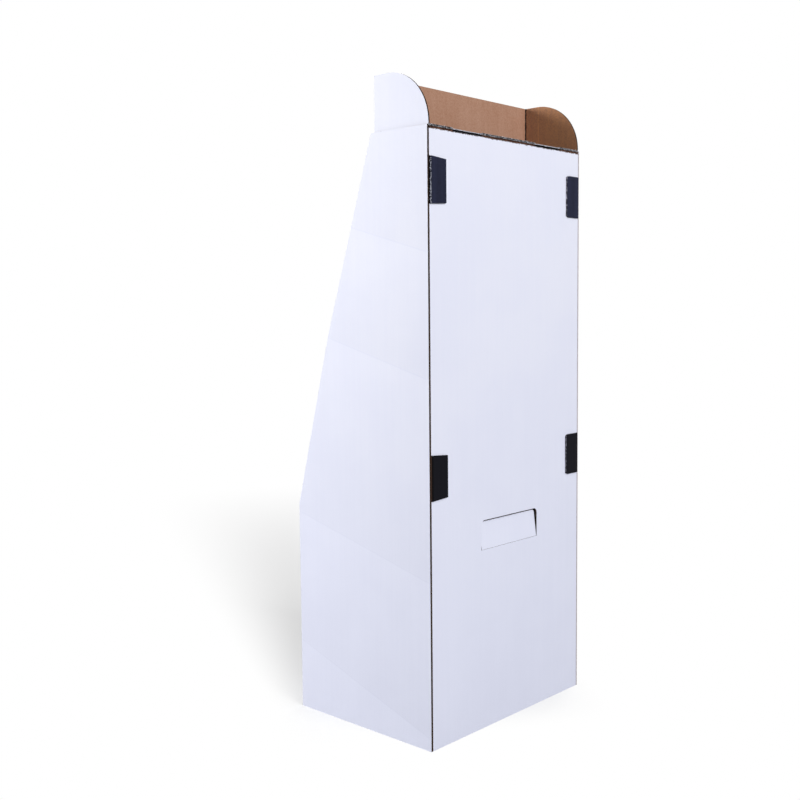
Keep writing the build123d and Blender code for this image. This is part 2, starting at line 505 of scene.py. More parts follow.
    def fill(self, mesh: bmesh.types.BMesh, side: Side = Side.RIGHT) -> None:
        """Add the folded blank's closed layers to a mesh.

        Args:
            mesh: the mesh that takes them.
            side: the side that the blank is made for, as its mirror image on the left.
        """
        spots, faces = self.plan()
        edges = {(a, b) for ring in faces for a, b in zip(ring, ring[1:] + ring[:1])}
        rim = [(a, b) for a, b in edges if (b, a) not in edges]
        waves = [self._wave_place(spot) for spot in spots]
        shut = {index for a, b in rim if abs(waves[a] - waves[b]) < CLOSE for index in (a, b)}
        crease, pressed = (mesh.verts.layers.float.get(name) for name in (CREASE, PRESSED))
        creases = [self.path.crease(place, *self.worn_line) for place, _ in spots]
        marks = [max((line.mark(spot) for line in self.presses), default=0.0) for spot in spots]
        for low, high, low_slot, high_slot in self.layers(spots, shut):
            shells = []
            for depths in (low, high):
                shell = []
                for index, ((place, across), depth) in enumerate(zip(spots, depths)):
                    spot = self.path.world(place, across, depth)
                    vert = mesh.verts.new((side.value * spot.x, spot.y, spot.z))
                    vert[crease] = creases[index]
                    vert[pressed] = marks[index]
                    shell.append(vert)
                shells.append(shell)
            for shell, slot in zip(shells, (low_slot, high_slot)):
                for ring in faces:
                    made = mesh.faces.new([shell[index] for index in ring])
                    middle = sum(spots[index][0] for index in ring) / len(ring)
                    # The fold finish is the crease's own; on the lid's tabs it also paints the slot's shade
                    # and a highlight on the bend.
                    folded = self.fold_slot and self.path.in_bend(middle, self.fold_margin)
                    worn = folded and slot is Face.OUTSIDE
                    made.material_index = (Face.FOLD if worn else slot).value
            for a, b in rim:
                made = mesh.faces.new([shells[0][a], shells[0][b], shells[1][b], shells[1][a]])
                made.material_index = Face.CUT.value


MIX_INPUTS = (0, 6, 7)
MIX_RESULT = 2
EDGEWISE = (0.6, 0.9)
NOISE_MIDDLE = 0.5
FINE = (0.35, 0.65)
BROAD = (0.3, 0.7)


class Graph:
    """Small helper for writing shader nodes."""

    def __init__(self, tree: bpy.types.NodeTree) -> None:
        """Start from an empty node tree."""
        self.tree = tree
        tree.nodes.clear()

    def node(self, kind: str, settings: dict | None = None, **inputs: object) -> bpy.types.Node:
        """Add a node.

        Args:
            kind: the node's type name.
            settings: properties of the node itself.
            inputs: values or sockets by input name, with underscores for spaces.

        Returns:
            The new node.
        """
        made = self.tree.nodes.new(kind)
        for name, value in (settings or {}).items():
            setattr(made, name, value)
        for name, value in inputs.items():
            self.feed(made.inputs[name.replace("_", " ")], value)
        return made

    def feed(self, socket: Socket, value: object) -> None:
        """Set a socket to a value, or link another socket to it.

        Args:
            socket: the input socket.
            value: its value, or the output socket that feeds it.
        """
        if isinstance(value, Socket):
            self.tree.links.new(value, socket)
        else:
            socket.default_value = value

    def math(self, kind: str, *values: object) -> Socket:
        """Work a value out from others.

        Args:
            kind: the operation's name.
            values: its values or sockets in order.

        Returns:
            The result.
        """
        made = self.node("ShaderNodeMath", {"operation": kind})
        for socket, value in zip(made.inputs, values):
            self.feed(socket, value)
        return made.outputs[0]

    def mix(self, share: object, first: object, second: object) -> Socket:
        """Mix two colours.

        Args:
            share: share of the second colour, from 0 to 1.
            first: the first colour.
            second: the second colour.

        Returns:
            The mixed colour.
        """
        made = self.node("ShaderNodeMix", {"data_type": "RGBA"})
        for index, value in zip(MIX_INPUTS, (share, first, second)):
            self.feed(made.inputs[index], value)
        return made.outputs[MIX_RESULT]

    def ramp(self, value: object, low: float, high: float, first: float = 0.0, last: float = 1.0) -> Socket:
        """Map a value smoothly from one range to another, and hold it at the ends.

        Args:
            value: the value.
            low: lower end of its range.
            high: upper end of its range.
            first: result at the lower end.
            last: result at the upper end.

        Returns:
            The mapped value.
        """
        made = self.node("ShaderNodeMapRange", {"interpolation_type": "SMOOTHSTEP"}, Value=value)
        for name, number in (("From Min", low), ("From Max", high), ("To Min", first), ("To Max", last)):
            made.inputs[name].default_value = number
        return made.outputs[0]

    def noise(self, vector: object, scale: object, detail: float = 3.0, rough: float = 0.55) -> Socket:
        """Strength of a noise texture."""
        inputs = {"Vector": vector, "Scale": scale, "Detail": detail, "Roughness": rough}
        return self.node("ShaderNodeTexNoise", None, **inputs).outputs[0]

    def dot(self, vector: object, bearing: tuple[float, float, float]) -> Socket:
        """Measure how far a vector reaches along a bearing.

        Args:
            vector: the vector.
            bearing: unit vector of the bearing.

        Returns:
            The distance.
        """
        made = self.node("ShaderNodeVectorMath", {"operation": "DOT_PRODUCT"})
        self.feed(made.inputs[0], vector)
        made.inputs[1].default_value = bearing
        return made.outputs["Value"]

    def spot(self) -> Socket:
        """Place of the shaded point in the stand."""
        return self.node("ShaderNodeTexCoord").outputs["Object"]

    def along(self, axis: str) -> Socket:
        """One coordinate of the shaded point in the stand."""
        return self.node("ShaderNodeSeparateXYZ", None, Vector=self.spot()).outputs[axis]

    def edgewise(self) -> Socket:
        """1 on faces that look sideways, and 0 on the others."""
        facing = self.node("ShaderNodeNewGeometry").outputs["True Normal"]
        return self.ramp(self.math("ABSOLUTE", self.dot(facing, (1.0, 0.0, 0.0))), *EDGEWISE)

    def marked(self, mark: str) -> Socket:
        """Strength of one of a board's marks."""
        return self.node("ShaderNodeAttribute", {"attribute_name": mark}).outputs["Fac"]

    def group(self, tree: bpy.types.NodeTree, **inputs: object) -> bpy.types.Node:
        """Add a shared node group."""
        return self.node("ShaderNodeGroup", {"node_tree": tree}, **inputs)

    def blend(self, share: object, first: Socket, second: Socket) -> Socket:
        """Mix two shaders.

        Args:
            share: share of the second shader, from 0 to 1.
            first: the first shader.
            second: the second shader.

        Returns:
            The mixed shader.
        """
        made = self.node("ShaderNodeMixShader", None, Fac=share)
        self.feed(made.inputs[1], first)
        self.feed(made.inputs[2], second)
        return made.outputs[0]

    def finish(self, kind: str, surface: Socket) -> None:
        """Feed a shader to the tree's output node."""
        self.feed(self.node(kind).inputs["Surface"], surface)

    def show(self, specular: float, **inputs: object) -> None:
        """Finish a material with a principled shader.

        Args:
            specular: how strongly it reflects.
            inputs: values or sockets of the shader by input name, with underscores for spaces.
        """
        shader = self.node("ShaderNodeBsdfPrincipled", None, **inputs)
        shader.inputs["Specular IOR Level"].default_value = specular
        self.finish("ShaderNodeOutputMaterial", shader.outputs[0])


def colour(red: float, green: float, blue: float) -> Colour:
    """Turn a screen colour into a linear one.

    Args:
        red: red level from 0 to 255.
        green: green level from 0 to 255.
        blue: blue level from 0 to 255.

    Returns:
        The linear colour, not see-through.
    """
    parts = [value / 255 for value in (red, green, blue)]
    linear = [part / 12.92 if part <= 0.04045 else ((part + 0.055) / 1.055) ** 2.4 for part in parts]
    return linear[0], linear[1], linear[2], 1.0


def grey(level: float) -> Colour:
    """Grey of a linear level."""
    return level, level, level, 1.0


def new_material(name: str) -> tuple[bpy.types.Material, Graph]:
    """Start a node material.

    Args:
        name: the material's name.

    Returns:
        The material, and a graph for its nodes.
    """
    material = bpy.data.materials.new(name)
    material.use_nodes = True
    return material, Graph(material.node_tree)


Inputs = dict[str, tuple[str, object]]


class SharedEffects:
    """Node groups that several finishes share, each made once."""

    torn_range = (0.66, 0.76)
    near_range = (0.0, 0.25)
    speck_top = 0.75
    speck_fall = 0.5
    speck_edge = 0.04

    def __init__(self) -> None:
        """Build the groups."""
        self.paper = self._paper()
        self.wear = self._wear()
        self.specks = self._specks()

    @staticmethod
    def _group(name: str, inputs: Inputs, outputs: list[str]) -> tuple[bpy.types.NodeTree, Graph]:
        """Start a node group with named sockets.

        Args:
            name: the group's name.
            inputs: socket type and default by name.
            outputs: names of its value outputs.

        Returns:
            The group and a graph for its nodes.
        """
        tree = bpy.data.node_groups.new(name, "ShaderNodeTree")
        for label, (kind, value) in inputs.items():
            socket = tree.interface.new_socket(name=label, in_out="INPUT", socket_type=kind)
            socket.default_value = value
        for label in outputs:
            tree.interface.new_socket(name=label, in_out="OUTPUT", socket_type="NodeSocketFloat")
        return tree, Graph(tree)

    def _paper(self) -> bpy.types.NodeTree:
        """Fibre, streaks along the flutes and broad blotches of a paper face.

        Returns:
            The node group.
        """
        tree, graph = self._group(
            "paper grain",
            {
                "Grain": ("NodeSocketFloat", 900.0),
                "Streaks": ("NodeSocketVector", (120.0, 120.0, 3.0)),
                "Blotches": ("NodeSocketFloat", 9.0),
            },
            ["Fibre", "Streak", "Blotch"],
        )
        given = graph.node("NodeGroupInput")
        spot = graph.spot()
        stretched = graph.node("ShaderNodeVectorMath", {"operation": "MULTIPLY"})
        graph.feed(stretched.inputs[0], spot)
        graph.feed(stretched.inputs[1], given.outputs["Streaks"])
        result = graph.node("NodeGroupOutput")
        fibre = graph.noise(spot, given.outputs["Grain"], detail=4.0, rough=0.65)
        graph.feed(result.inputs["Fibre"], fibre)
        streak = graph.noise(stretched.outputs[0], 1.0, detail=3.0, rough=0.6)
        graph.feed(result.inputs["Streak"], streak)
        blotch = graph.noise(spot, given.outputs["Blotches"], detail=2.0, rough=0.5)
        graph.feed(result.inputs["Blotch"], blotch)
        return tree

    def _wear(self) -> bpy.types.NodeTree:
        """Broken-up mask along the creases of a board.

        Returns:
            The node group.
        """
        # This mask carries crease wear, and in some finishes painted crease shade or a painted highlight.
        tree, graph = self._group(
            "crease wear",
            {"Spread": ("NodeSocketFloat", 0.3), "Grain": ("NodeSocketFloat", 420.0)},
            ["Mask"],
        )
        given = graph.node("NodeGroupInput")
        near = graph.marked(CREASE)
        grain = graph.noise(graph.spot(), given.outputs["Grain"], detail=3.0, rough=0.6)
        worn = graph.math("MULTIPLY_ADD", near, given.outputs["Spread"], grain)
        torn = graph.ramp(worn, *self.torn_range)
        result = graph.node("NodeGroupOutput")
        graph.feed(result.inputs["Mask"], graph.math("MULTIPLY", torn, graph.ramp(near, *self.near_range)))
        return tree

    def _specks(self) -> bpy.types.NodeTree:
        """Scattered specks of loose fibre and paper dust.

        Returns:
            The node group.
        """
        tree, graph = self._group(
            "cut fibre specks",
            {"Scale": ("NodeSocketFloat", 700.0), "Cover": ("NodeSocketFloat", 0.5)},
            ["Mask"],
        )
        given = graph.node("NodeGroupInput")
        grain = graph.noise(graph.spot(), given.outputs["Scale"], detail=2.0, rough=0.5)
        limit = graph.math("MULTIPLY_ADD", given.outputs["Cover"], -self.speck_fall, self.speck_top)
        over = graph.math("SUBTRACT", grain, limit)
        result = graph.node("NodeGroupOutput")
        graph.feed(result.inputs["Mask"], graph.ramp(over, -self.speck_edge, self.speck_edge))
        return tree


@dataclass(frozen=True)
class PaperFinish:
    """A printed or bare paper face."""

    name: str
    base: Colour
    shade: Colour
    # Colour where the crease mask shows: scuffing in most finishes, painted crease shade on the kraft and a
    # painted highlight on the lid's tab bends.
    worn: Colour
    streaks: tuple[float, float, float] = (120.0, 120.0, 3.0)
    grain: float = 900.0
    grain_share: float = 0.1
    streak_share: float = 0.1
    blotch_share: float = 0.2
    # Painted shade along the pressed lines; a negative share paints a highlight instead.
    press_painted_shade: float = 0.5
    wear: float = 0.4
    wear_spread: float = 0.25
    roughness: tuple[float, float] = (0.5, 0.65)
    specular: float = 0.3
    bump: float = 0.12
    bump_depth: float = 0.0004
    streak_height: float = 0.5
    # Painted light by height: the colour the face takes towards the top, standing in for the lamps lighting
    # the top more than the bottom.
    painted_height_light: Colour | None = None
    painted_height_light_range: Point = (0.5, 0.9)
    # Painted light: the colour given to faces that look along x, standing in for how light reaches them.
    sideways: Colour | None = None
    # Painted shade: from this x in metres outwards, a ragged strip takes the worn colour, standing in for the
    # shade in the gap beside the side panel.
    painted_edge_shade_from: float | None = None
    edge_shade_jitter: float = 0.0012
    edge_shade_softness: float = 0.0001
    low_worn: Colour | None = None
    low_spread: float = 1.0
    low_range: Point = (0.5, 0.6)

    def make(self, effects: SharedEffects) -> bpy.types.Material:
        """Build the finish's material.

        Args:
            effects: the shared node groups.

        Returns:
            The material.
        """
        material, graph = new_material(self.name)
        paper = graph.group(effects.paper, Grain=self.grain, Streaks=self.streaks)
        fibre, streak, blotch = (paper.outputs[name] for name in ("Fibre", "Streak", "Blotch"))
        shares = (
            (graph.ramp(fibre, *FINE), self.grain_share),
            (graph.ramp(streak, *FINE), self.streak_share),
            (graph.ramp(blotch, *BROAD), self.blotch_share),
            # Pressed lines get painted shade, and a painted highlight where the share is negative.
            (graph.marked(PRESSED), self.press_painted_shade),
        )
        grain, streaks, blotches, press = (graph.math("MULTIPLY", mask, share) for mask, share in shares)
        tone = graph.math("ADD", graph.math("ADD", grain, streaks), graph.math("ADD", blotches, press))
        toned = graph.mix(tone, self._print(graph), self.shade)
        # The wear mask also carries painted crease shade, a painted highlight and painted edge shade in some
        # finishes.
        bare, scuffed = self._wear(graph, effects, fibre)
        worn = graph.mix(bare, toned, scuffed)
        rough = graph.ramp(fibre, *BROAD, *self.roughness)
        height = graph.math("MULTIPLY_ADD", streak, self.streak_height, fibre)
        settings = {"Strength": self.bump, "Distance": self.bump_depth}
        bump = graph.node("ShaderNodeBump", None, Height=height, **settings)
        graph.show(self.specular, Base_Color=worn, Roughness=rough, Normal=bump.outputs[0])
        return material

    def _print(self, graph: Graph) -> object:
        """Colour of the clean face, with painted light by height and painted light on faces that look
        sideways.

        Args:
            graph: the material's graph.

        Returns:
            The colour, or the socket that gives it.
        """
        base: object = self.base
        # Painted light: the face's colour shifts with height, as the lamps' fall-off would.
        if self.painted_height_light is not None:
            base = graph.mix(graph.ramp(graph.along("Z"), *self.painted_height_light_range), base, self.painted_height_light)
        # Painted light: faces that look along x take their own colour.
        if self.sideways is not None:
            base = graph.mix(graph.edgewise(), base, self.sideways)
        return base

    def _wear(self, graph: Graph, effects: SharedEffects, fibre: Socket) -> tuple[Socket, object]:
        """Where the face is worn or carries painted crease shade, a painted highlight or painted edge shade,
        and what shows there.

        Args:
            graph: the material's graph.
            effects: the shared node groups.
            fibre: the paper's fine grain.

        Returns:
            Mask and colour of the wear, which in some finishes is painted crease shade or a painted
            highlight, and of the painted edge shade.
        """
        spread: object = self.wear_spread
        scuffed: object = self.worn
        if self.low_worn is not None:
            height = graph.along("Z")
            spread = graph.ramp(height, *self.low_range, self.low_spread, self.wear_spread)
            scuffed = graph.mix(graph.ramp(height, *self.low_range), self.low_worn, self.worn)
        bare = graph.math("MULTIPLY", graph.group(effects.wear, Spread=spread).outputs["Mask"], self.wear)
        # Painted shade: past a ragged line near the right-hand edge the face takes the worn colour, as the
        # shade of the gap beside the side panel.
        if self.painted_edge_shade_from is not None:
            loose = graph.math("SUBTRACT", fibre, NOISE_MIDDLE)
            ragged = graph.math("MULTIPLY_ADD", loose, self.edge_shade_jitter, graph.along("X"))
            limits = (self.painted_edge_shade_from - self.edge_shade_softness, self.painted_edge_shade_from + self.edge_shade_softness)
            bare = graph.math("MAXIMUM", bare, graph.ramp(ragged, *limits))
        return bare, scuffed


@dataclass(frozen=True)
class CutFinish:
    """A raw cut, a torn crease or the fluted medium, speckled with loose fibre."""

    name: str
    base: Colour
    speck: Colour
    cover: float = 0.4
    scale: float = 700.0
    roughness: tuple[float, float] = (0.8, 0.95)
    specular: float = 0.1
    bump: float = 0.4
    bump_depth: float = 0.0003
    grain: float = 1500.0
    # Painted light on cut faces that look along x.
    sideways: Colour | None = None

    def make(self, effects: SharedEffects) -> bpy.types.Material:
        """Build the finish's material.

        Args:
            effects: the shared node groups.

        Returns:
            The material.
        """
        material, graph = new_material(self.name)
        specks = graph.group(effects.specks, Scale=self.scale, Cover=self.cover)
        fibre = graph.group(effects.paper, Grain=self.grain).outputs["Fibre"]
        shaded = graph.mix(specks.outputs["Mask"], self.base, self.speck)
        # Painted light: cut faces that look along x take their own, paler colour.
        if self.sideways is not None:
            shaded = graph.mix(graph.edgewise(), shaded, self.sideways)
        rough = graph.ramp(fibre, *BROAD, *self.roughness)
        bump = graph.node("ShaderNodeBump", None, Strength=self.bump, Distance=self.bump_depth, Height=fibre)
        graph.show(self.specular, Base_Color=shaded, Roughness=rough, Normal=bump.outputs[0])
        return material


LEVEL_STREAKS = (120.0, 3.0, 120.0)


class Finishes:
    """Materials of the white board and the black board, as lists in the order of a board's slots."""

    def __init__(self) -> None:
        """Make every finish once."""
        effects = SharedEffects()
        white = PaperFinish(
            "white print",
            base=colour(234, 237, 255),
            shade=colour(227, 230, 249),
            worn=colour(176, 172, 178),
            grain_share=0.12,
            streak_share=0.12,
            blotch_share=0.3,
            wear=0.15,
            roughness=(0.5, 0.62),
            bump=0.04,
            # Painted light: the white is bluer low down and warmer high up, copying how the shade's colour
            # changes with height.
            painted_height_light=colour(235, 237, 251),
            painted_height_light_range=(0.1, 0.9),
        )
        cracked = replace(
            white,
            name="white print by the crease",
            worn=colour(56, 37, 30),
            wear=1.0,
            wear_spread=0.42,
            # Painted shade: the strip by the right-hand edge takes the dark worn colour, as the shade in the
            # gap beside the side panel; the crack along the crease is wear.
            painted_edge_shade_from=0.2105,
        )
        kraft = PaperFinish(
            "bare kraft",
            base=colour(187, 148, 127),
            shade=colour(167, 124, 100),
            # Painted shade: the kraft's worn colour is near black, standing in for the deep shade inside the
            # header's folded corners and other inside creases.
            worn=colour(52, 34, 27),
            grain=520.0,
            grain_share=0.62,
            streak_share=0.2,
            blotch_share=0.3,
            # Painted highlight: the header's inside score line is painted lighter than the kraft around it.
            press_painted_shade=-0.6,
            wear=1.0,
            wear_spread=0.75,
            roughness=(0.75, 0.9),
            specular=0.1,
            bump=0.2,
            # Painted bounce light: kraft faces that look along x are warmer and more saturated, as if lit by
            # light bounced between the header's kraft faces.
            sideways=colour(207, 152, 109),
        )
        brown_core = CutFinish("brown medium", colour(66, 46, 36), colour(104, 78, 62), cover=0.35)
        # Painted shade: the brown cut edge is darkened nearly to black, standing in for the shade in its
        # flutes and in the gaps between pieces; its brown is the board's own.
        shaded_brown_cut = CutFinish("brown cut edge", colour(40, 29, 26), colour(104, 84, 73), cover=0.3)
        # Painted light: a pale copy of the same cut edge, for the left panel, whose edges show at the far
        # side.
        lit_pale_cut = CutFinish("pale cut edge", colour(156, 146, 149), colour(210, 205, 214), cover=0.5)
        torn = colour(58, 36, 28)
        torn_fold = CutFinish("cracked crease", torn, colour(122, 86, 68), cover=0.35, scale=420.0)
        black = PaperFinish(
            "black print",
            base=colour(15, 15, 22),
            shade=colour(11, 11, 16),
            worn=colour(120, 122, 136),
            grain_share=0.3,
            streak_share=0.2,
            blotch_share=0.15,
            wear=0.8,
            roughness=(0.45, 0.58),
            specular=0.04,
            bump=0.06,
            # Painted sheen: the black turns a lighter navy towards the top, as if lit more there; the shelves
            # and the lid share it.
            painted_height_light=colour(44, 47, 69),
            low_worn=colour(74, 56, 47),
            low_spread=0.25,
        )
        black_level = replace(black, name="black print on level boards", streaks=LEVEL_STREAKS)
        # Painted shade: the crease black is darker than the print, standing in for the shade in the back
        # panel's slots and the tabs' folds; its light worn line is scuffing on the wrap's tabs.
        black_fold = PaperFinish(
            "scuffed black crease",
            base=colour(10, 10, 13),
            shade=colour(6, 6, 8),
            worn=colour(156, 158, 171),
            wear=1.0,
            wear_spread=0.26,
            specular=0.03,
            low_worn=colour(74, 56, 47),
        )
        grey_core = CutFinish("grey medium", colour(26, 25, 27), colour(70, 68, 72), cover=0.3)
        dusty = colour(196, 195, 204)
        grey_cut = CutFinish("grey cut edge", colour(38, 37, 41), dusty, cover=0.42, scale=450.0)
        lid_cut = CutFinish(
            "lid edge",
            colour(70, 68, 72),
            colour(240, 238, 244),
            cover=0.5,
            scale=340.0,
            # Painted highlight: the lid's end cuts, in the seam between the side panel's top and the header's
            # wing, are painted near white to stay pale in the seam's shade.
            sideways=colour(238, 238, 248),
        )
        lid_core = replace(
            lid_cut,
            name="lid medium",
            base=colour(34, 32, 34),
            speck=colour(208, 205, 212),
            cover=0.45,
        )
        # Painted highlight: the lid tabs' bends get a near-white line along their top, over the dark crease
        # black that paints the slot's shade.
        painted_lid_crease = replace(black_fold, name="scuffed lid crease", worn=colour(205, 206, 216), wear_spread=0.5)
        brown = (brown_core, shaded_brown_cut, torn_fold)
        grey = (grey_core, grey_cut, black_fold)
        self.white_board = [item.make(effects) for item in (white, kraft, *brown)]
        self.back_board = [cracked.make(effects), *self.white_board[1:]]
        self.lit_edged_board = [*self.white_board[:3], lit_pale_cut.make(effects), self.white_board[4]]
        self.black_board = [item.make(effects) for item in (black, black, *grey)]
        level, *lid = [item.make(effects) for item in (black_level, lid_core, lid_cut, painted_lid_crease)]
        self.black_level_board = [level, level, *self.black_board[2:]]
        self.lid_board = [level, level, *lid]


SMOOTH_ANGLE = math.radians(35)


Materials = list[bpy.types.Material]


def make_piece(name: str, blanks: list[Blank], materials: Materials, side: Side) -> bpy.types.Object:
    """Make one piece of the stand from its blanks.

    Args:
        name: the piece's name.
        blanks: its folded blanks.
        materials: its board's materials by slot.
        side: the side that it is made for.

    Returns:
        The piece as a mesh object.
    """
    mesh = bmesh.new()
    for mark in (CREASE, PRESSED):
        mesh.verts.layers.float.new(mark)
    for blank in blanks:
        blank.fill(mesh, side)
    bmesh.ops.recalc_face_normals(mesh, faces=mesh.faces)
    for face in mesh.faces:
        face.smooth = True
    for edge in mesh.edges:
        edge.smooth = edge.calc_face_angle(0.0) < SMOOTH_ANGLE
    data = bpy.data.meshes.new(name)
    mesh.to_mesh(data)
    mesh.free()
    for material in materials:
        data.materials.append(material)
    piece = bpy.data.objects.new(name, data)
    bpy.context.scene.collection.objects.link(piece)
    return piece


def seat(
    node: str,
    kind: str,
    blanks: list[Blank],
    materials: Materials,
    side: Side = Side.RIGHT,
) -> None:
    """Make a piece and put it in its CAD node's stead, riding with the stand.

    Args:
        node: the CAD node.
        kind: what the piece is, which ends its name.
        blanks: its folded blanks.
        materials: its board's materials by slot.
        side: the side that it is made for, as its mirror image on the left.
    """
    piece = make_piece(f"{node}_{kind}", blanks, materials, side)
    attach(piece, "root")
    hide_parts(node)
    LOG.info("%s: %d faces, stands for %s", piece.name, len(piece.data.polygons), node)


def arc_points(centre: Point, radius: float, first: float, last: float, steps: int) -> Cell:
    """Points of an arc, with its angles in degrees."""
    angles = [math.radians(first + (last - first) * step / steps) for step in range(steps + 1)]
    return [(centre[0] + radius * math.cos(angle), centre[1] + radius * math.sin(angle)) for angle in angles]


@dataclass(frozen=True)
class Sizes:
    """Sizes that the stand's pieces share, as its drawing gives them."""

    board: float = 3.0
    fit: float = 0.25
    header_fit: float = 0.5
    width: float = 430.0
    depth: float = 320.0
    side_height: float = 1028.0
    base_height: float = 382.0
    middle_height: float = 685.5
    middle_reach: float = 238.0
    top_reach: float = 125.0
    top_board_rise: float = 1.5
    slot_width: float = 75.0
    slot_offset: float = 113.5
    tab_length: float = 40.0
    tab_root_height: float = 75.5
    top_tab_length: float = 30.0
    tab_bottoms: tuple[float, float] = (903.5, 421.5)
    hand_hole_width: float = 162.0
    hand_hole_height: float = 52.0
    hand_hole_bottom: float = 318.0
    tongue_reach: float = 45.0
    tongue_width: float = 60.0
    tongue_length: float = 40.0

    @property
    def rear_y(self) -> float:
        """y of the rear plane."""
        return (self.depth - self.board) / 2

    @property
    def side_face(self) -> float:
        """x of a side panel's outer face."""
        return self.width / 2

    @property
    def wrap_face(self) -> float:
        """x of the wrap's outer face."""
        return self.side_face - self.board

    @property
    def inner_face(self) -> float:
        """x of the wrap's inner face."""
        return self.wrap_face - self.board

    @property
    def loose_inner(self) -> float:
        """x of the ends of the pieces that drop between the wrap's sides."""
        return self.inner_face - self.fit

    @property
    def lid_top(self) -> float:
        """Height of the top board's upper face."""
        return self.side_height + self.top_board_rise

    @property
    def wrap_top(self) -> float:
        """Height of the wrap's side walls."""
        return self.lid_top - self.board

    @property
    def top_tab_reach(self) -> float:
        """Reach of the rear face of the lid's tabs."""
        return self.board + self.fit

    def y_at(self, reach: float) -> float:
        """y of a point at a reach from the rear plane."""
        return self.rear_y - reach

    def edge_reach(self, height: float) -> float:
        """Reach of the side walls' front edge.

        Args:
            height: height above the floor.

        Returns:
            The edge's reach at that height.
        """
        corners = (
            (self.base_height, self.depth),
            (self.middle_height, self.middle_reach),
            (self.side_height, self.top_reach),
        )
        for (low, low_reach), (high, high_reach) in zip(corners, corners[1:]):
            if low < height <= high:
                return low_reach + (high_reach - low_reach) * (height - low) / (high - low)
        return self.depth if height <= self.base_height else self.top_reach


SIZES = Sizes()
BOARD = Board()
STIFF_PRINT = Board(washboard=0.012)
PRESSED_PRINT = Board(washboard=0.05)
TRAY_BOARD = Board(steps=8)


@dataclass(frozen=True)
class Tray:
    """Sizes of one shelf."""

    node: str
    front_height: float
    tilt: float
    lip: float = 48.0
    lip_inset: float = 3.0
    flange: float = 15.0
    tongue: float = 44.0
    tongue_margin: float = 22.0
    tongue_gap: float = 0.1

    @property
    def slope(self) -> float:
        """Tilt in radians."""
        return math.radians(self.tilt)

    @property
    def front_reach(self) -> float:
        """Reach of the lip's foot."""
        return SIZES.edge_reach(self.front_height) - self.lip_inset

    @property
    def rear_reach(self) -> float:
        """Reach of the rear flange's front face."""
        return 3 * SIZES.board + SIZES.fit

    def underside(self, reach: float) -> float:
        """Height of the underside at a reach."""
        return self.front_height - (SIZES.edge_reach(self.front_height) - reach) * math.tan(self.slope)

    def tongue_reaches(self) -> tuple[float, float]:
        """Reaches of the two tongues' middles at each end."""
        half = self.tongue / 2
        return self.rear_reach + self.tongue_margin + half, self.front_reach - self.tongue_margin - half


TRAYS = (
    Tray("shelf_top", 875.0, 15.6),
    Tray("shelf_upper", 685.5, 15.6),
    Tray("shelf_lower", 368.0, 14.6),
    Tray("shelf_bottom", 127.5, 18.5),
)


@dataclass
class SidePanels:
    """The two flat outer side panels."""

    press_half_width: float = 1.6
    press_depth: float = 0.12
    presses: tuple[tuple[Point, Point], ...] = (
        ((173.3, 875.0), (0.0, 826.0)),
        ((237.9, 687.3), (0.0, 620.3)),
        ((320.0, 367.8), (0.0, 285.1)),
        ((320.0, 127.3), (0.0, 21.0)),
    )

    def blank(self) -> Blank:
        """Flat blank of a right-hand panel, with the faint lines of the shelves behind it.

        Returns:
            The blank.
        """
        ends = [(SIZES.side_face, SIZES.y_at(SIZES.depth)), (SIZES.side_face, SIZES.rear_y)]
        path = FoldPath(ends, PRESSED_PRINT, Plane.PLAN)
        outline = [
            (0.0, 0.0),
            (SIZES.depth, 0.0),
            (SIZES.depth, SIZES.side_height),
            (SIZES.depth - SIZES.top_reach, SIZES.side_height),
            (SIZES.depth - SIZES.middle_reach, SIZES.middle_height),
            (0.0, SIZES.base_height),
        ]
        lines = []
        for (first, first_height), (last, last_height) in self.presses:
            ends = ((SIZES.depth - first, first_height), (SIZES.depth - last, last_height))
            lines.append(Press(*ends, self.press_half_width, self.press_depth))
        return Blank(path, outline, presses=lines)

    def build(self, finishes: Finishes) -> None:
        """Make both panels.

        Args:
            finishes: materials of the boards.
        """
        blanks = [self.blank()]
        seat("side_panel_right", "board", blanks, finishes.white_board)
        # The left panel's cut edges are the pale copy, painted light.
        seat("side_panel_left", "board", blanks, finishes.lit_edged_board, Side.LEFT)


